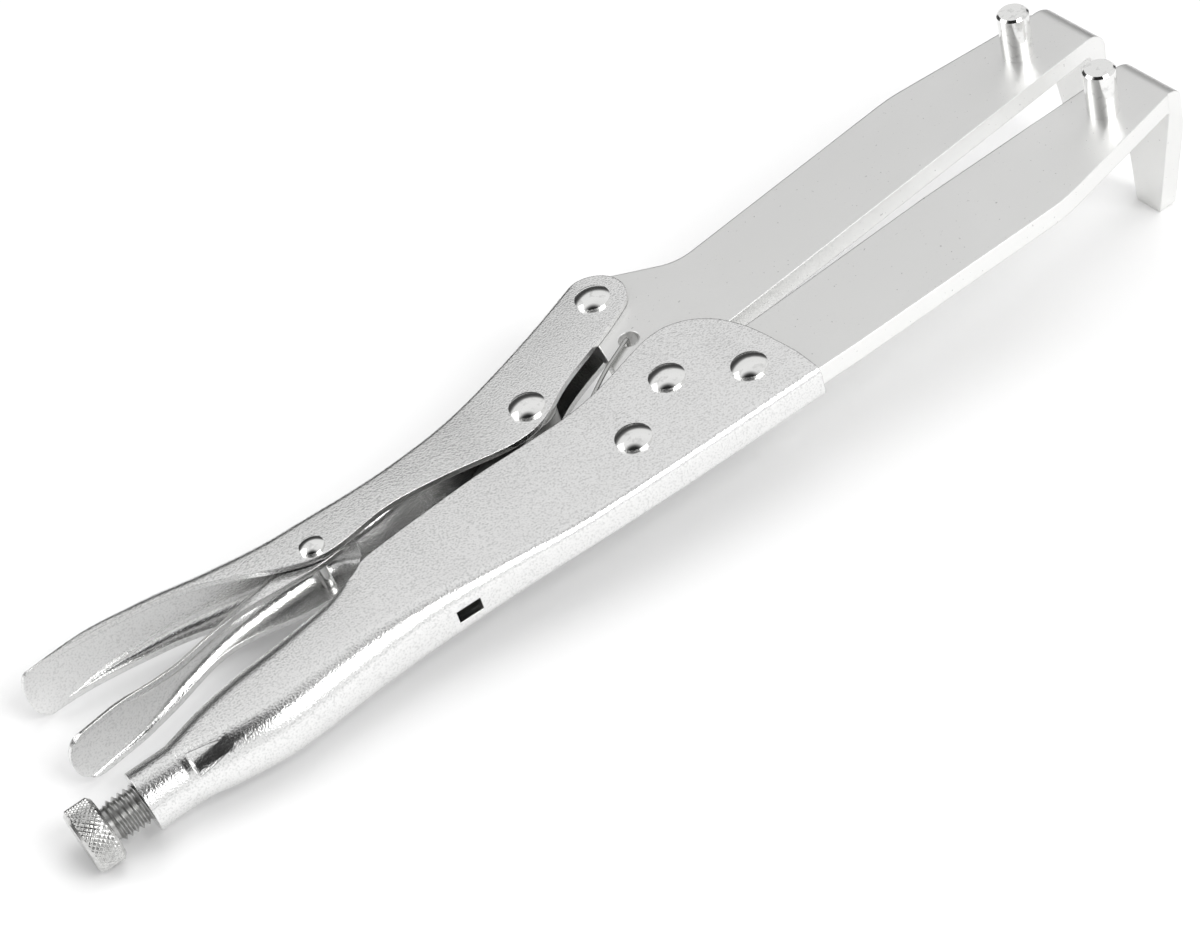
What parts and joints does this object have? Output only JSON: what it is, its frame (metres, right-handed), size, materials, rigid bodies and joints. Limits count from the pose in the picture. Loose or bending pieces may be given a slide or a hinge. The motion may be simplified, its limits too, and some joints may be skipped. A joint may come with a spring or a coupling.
{
  "type": "locking pliers",
  "caption": "Locking pliers with two long flat jaws, each with an upright grip pin and a hook bent down at the tip, a knurled adjusting screw and a release lever.",
  "frame": {"origin": "the middle of the whole tool's bounding box, which is 8.0 mm behind the jaw pivot in X, 10.6 mm above it in Y and 12.9 mm below the middle of the jaw plates in Z", "axes": "+X along the tool from the pivot to the jaw tips, +Y from the fixed handle to the moving handle, +Z along the rivets to the side that the grip pins stand on"},
  "size_m": [0.3346, 0.0738, 0.0582],
  "materials": {
    "plated_sheet": "satin zinc plate with a fine sparkling grain",
    "plated_jaw": "smooth satin zinc plate",
    "plated_link": "dull plated steel",
    "screw_steel": "plated screw, bright knurl and darker thread",
    "spring_wire": "bright drawn spring wire",
    "bright_steel": "polished bright steel"
  },
  "bodies": {
    "fixed_side": {"fixed_handle": "plated_sheet", "fixed_jaw": "plated_jaw", "fixed_grip_pin": "bright_steel", "jaw_pivot_rivet": "bright_steel", "front_fixing_rivet": "bright_steel", "rear_fixing_rivet": "bright_steel", "return_spring": "spring_wire"},
    "moving_jaw_side": {"moving_jaw": "plated_jaw", "moving_grip_pin": "bright_steel"},
    "moving_handle_side": {"moving_handle": "plated_sheet", "handle_pivot_rivet": "bright_steel", "link_pivot_rivet": "bright_steel", "lever_pivot_rivet": "bright_steel"},
    "link": {"toggle_link": "plated_link"},
    "lever": {"release_lever": "plated_sheet"},
    "screw": {"adjusting_screw": "screw_steel"}
  },
  "joints": [
    {"name": "jaw_pivot", "type": "hinge", "parent": "fixed_side", "child": "moving_jaw_side", "pos_m": [0.00796, -0.01056, 0.01287], "axis": [0, 0, 1], "range_deg": [0, 16], "deforming": ["return_spring"]},
    {"name": "handle_pivot", "type": "hinge", "parent": "moving_jaw_side", "child": "moving_handle_side", "pos_m": [0.01236, 0.02764, 0.01287], "axis": [0, 0, 1], "range_deg": [-48, 0]},
    {"name": "link_pivot", "type": "hinge", "parent": "moving_handle_side", "child": "link", "pos_m": [-0.02134, 0.00834, 0.01287], "axis": [0, 0, 1], "range_deg": [0, 54]},
    {"name": "lever_pivot", "type": "hinge", "parent": "moving_handle_side", "child": "lever", "pos_m": [-0.08514, 0.00554, 0.01287], "axis": [0, 0, 1], "range_deg": [-8, 0]},
    {"name": "screw_travel", "type": "slide", "parent": "fixed_side", "child": "screw", "axis": [1, 0, 0], "range_m": [-0.012, 0]}
  ],
  "couplings": [
    {"joint": "handle_pivot", "follows": "jaw_pivot", "ratio": -3},
    {"joint": "link_pivot", "follows": "jaw_pivot", "ratio": 3.37}
  ]
}
